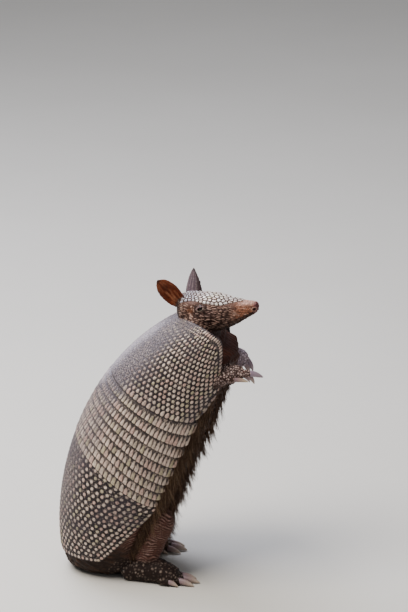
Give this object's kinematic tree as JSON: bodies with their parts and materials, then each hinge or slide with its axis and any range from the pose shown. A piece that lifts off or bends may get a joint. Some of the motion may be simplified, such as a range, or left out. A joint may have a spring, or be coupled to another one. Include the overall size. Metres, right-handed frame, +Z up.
{
  "type": "nine-banded armadillo",
  "caption": "Life-size still armadillo sitting up on its haunches, shell banded at the waist, forepaws raised to the chest, head level, tail laid on the floor.",
  "frame": {"origin": "middle of the whole figure's footprint, tail included, on the floor", "axes": "+Z up, +X the way the animal faces, +Y to its left, where the tail lies"},
  "size_m": [0.2352, 0.4328, 0.3409],
  "materials": {
    "hide": "dull wrinkled skin",
    "face": "dull finely wrinkled skin",
    "ear": "thin pebbled skin",
    "shell": "satin horn over bone, pale scutes on dark seams",
    "head_scute": "satin horn",
    "tail": "satin horn rings",
    "paw": "dull scaly skin",
    "claw": "smooth horn",
    "eye": "wet gloss",
    "hair": "coarse sparse hair"
  },
  "bodies": {
    "root": {"trunk": "hide", "scapular_shield": "shell", "band_1": "shell", "band_2": "shell", "band_3": "shell", "band_4": "shell", "band_5": "shell", "band_6": "shell", "band_7": "shell", "band_8": "shell", "band_9": "shell", "pelvic_shield": "shell", "neck": "hide", "head": "face", "head_shield": "head_scute", "ear_left": "ear", "eye_left": "eye", "ear_right": "ear", "eye_right": "eye", "tail_ring_1": "tail", "tail_ring_2": "tail", "tail_ring_3": "tail", "tail_ring_4": "tail", "tail_ring_5": "tail", "tail_ring_6": "tail", "tail_ring_7": "tail", "tail_ring_8": "tail", "tail_ring_9": "tail", "tail_tip": "tail", "foreleg_left": "paw", "forepaw_left": "paw", "foreclaw_left_1": "claw", "foreclaw_left_2": "claw", "foreclaw_left_3": "claw", "foreclaw_left_4": "claw", "hind_leg_left": "hide", "hind_foot_left": "paw", "hindclaw_left_1": "claw", "hindclaw_left_2": "claw", "hindclaw_left_3": "claw", "hindclaw_left_4": "claw", "hindclaw_left_5": "claw", "foreleg_right": "paw", "forepaw_right": "paw", "foreclaw_right_1": "claw", "foreclaw_right_2": "claw", "foreclaw_right_3": "claw", "foreclaw_right_4": "claw", "hind_leg_right": "hide", "hind_foot_right": "paw", "hindclaw_right_1": "claw", "hindclaw_right_2": "claw", "hindclaw_right_3": "claw", "hindclaw_right_4": "claw", "hindclaw_right_5": "claw"}
  },
  "joints": []
}
